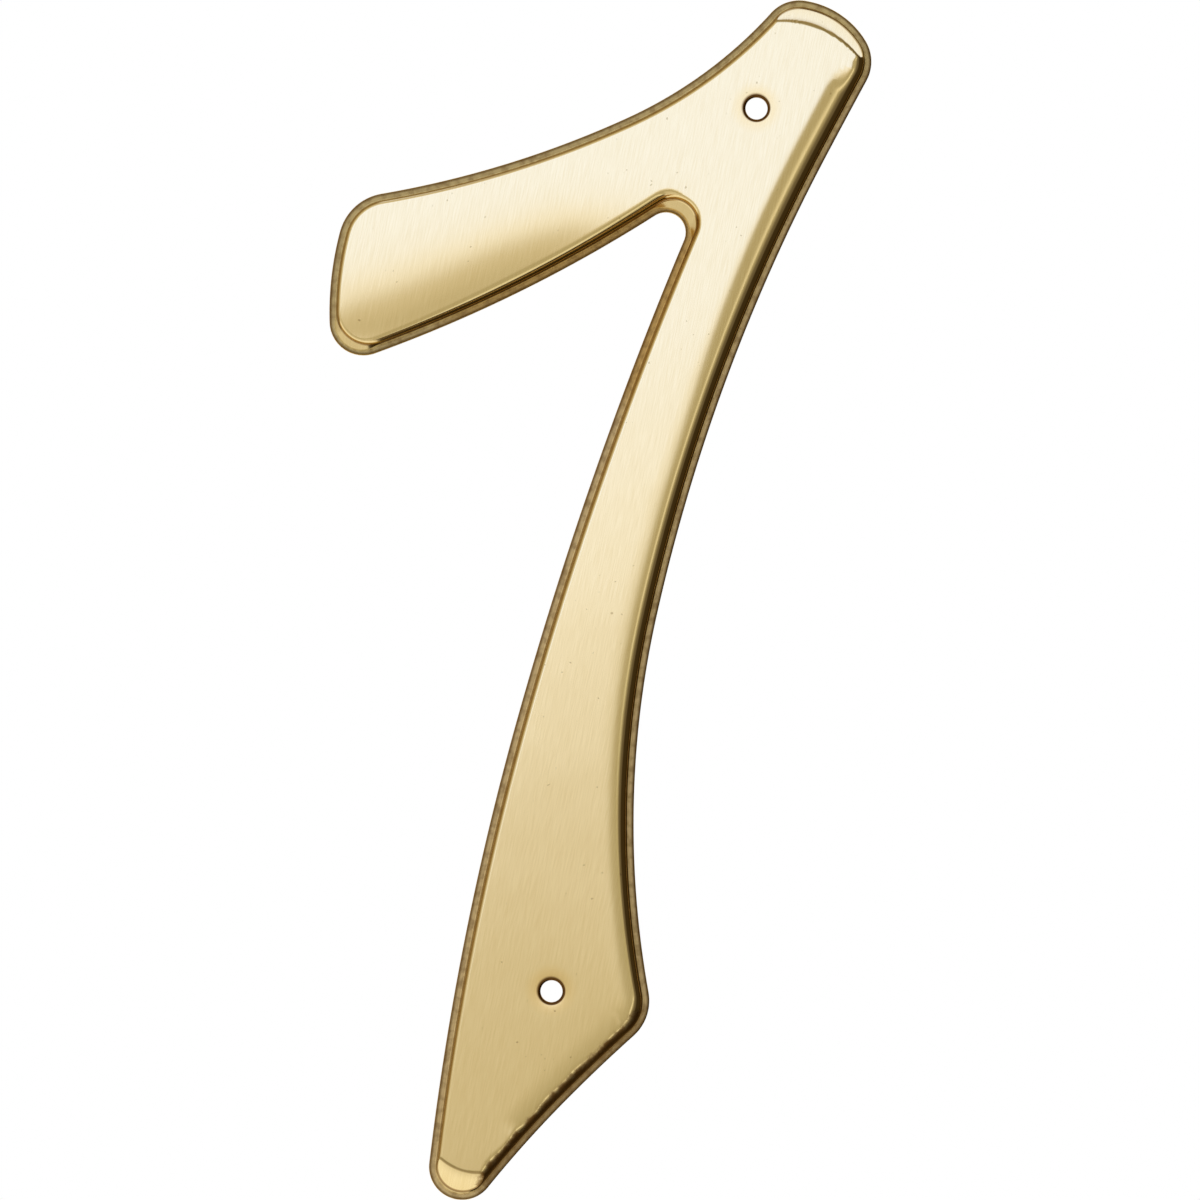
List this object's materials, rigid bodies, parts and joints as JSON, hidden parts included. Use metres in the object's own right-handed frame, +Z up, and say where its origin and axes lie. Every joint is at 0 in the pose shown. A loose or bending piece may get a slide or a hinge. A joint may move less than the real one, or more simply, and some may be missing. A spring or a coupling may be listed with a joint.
{
  "type": "door number",
  "caption": "Slanted house digit seven pressed from sheet brass: raised brushed face with a rounded shoulder, sloped tips, narrow flat rim, hollow back and nail holes.",
  "frame": {"origin": "middle of the digit's height and width, on the flat back of the rim", "axes": "+Z up along the digit's height, +X to the right as read, -Y out of the door towards the reader"},
  "size_m": [0.0459, 0.003, 0.1016],
  "materials": {
    "brass": "brushed"
  },
  "bodies": {
    "root": {"number_seven": "brass"}
  },
  "joints": []
}
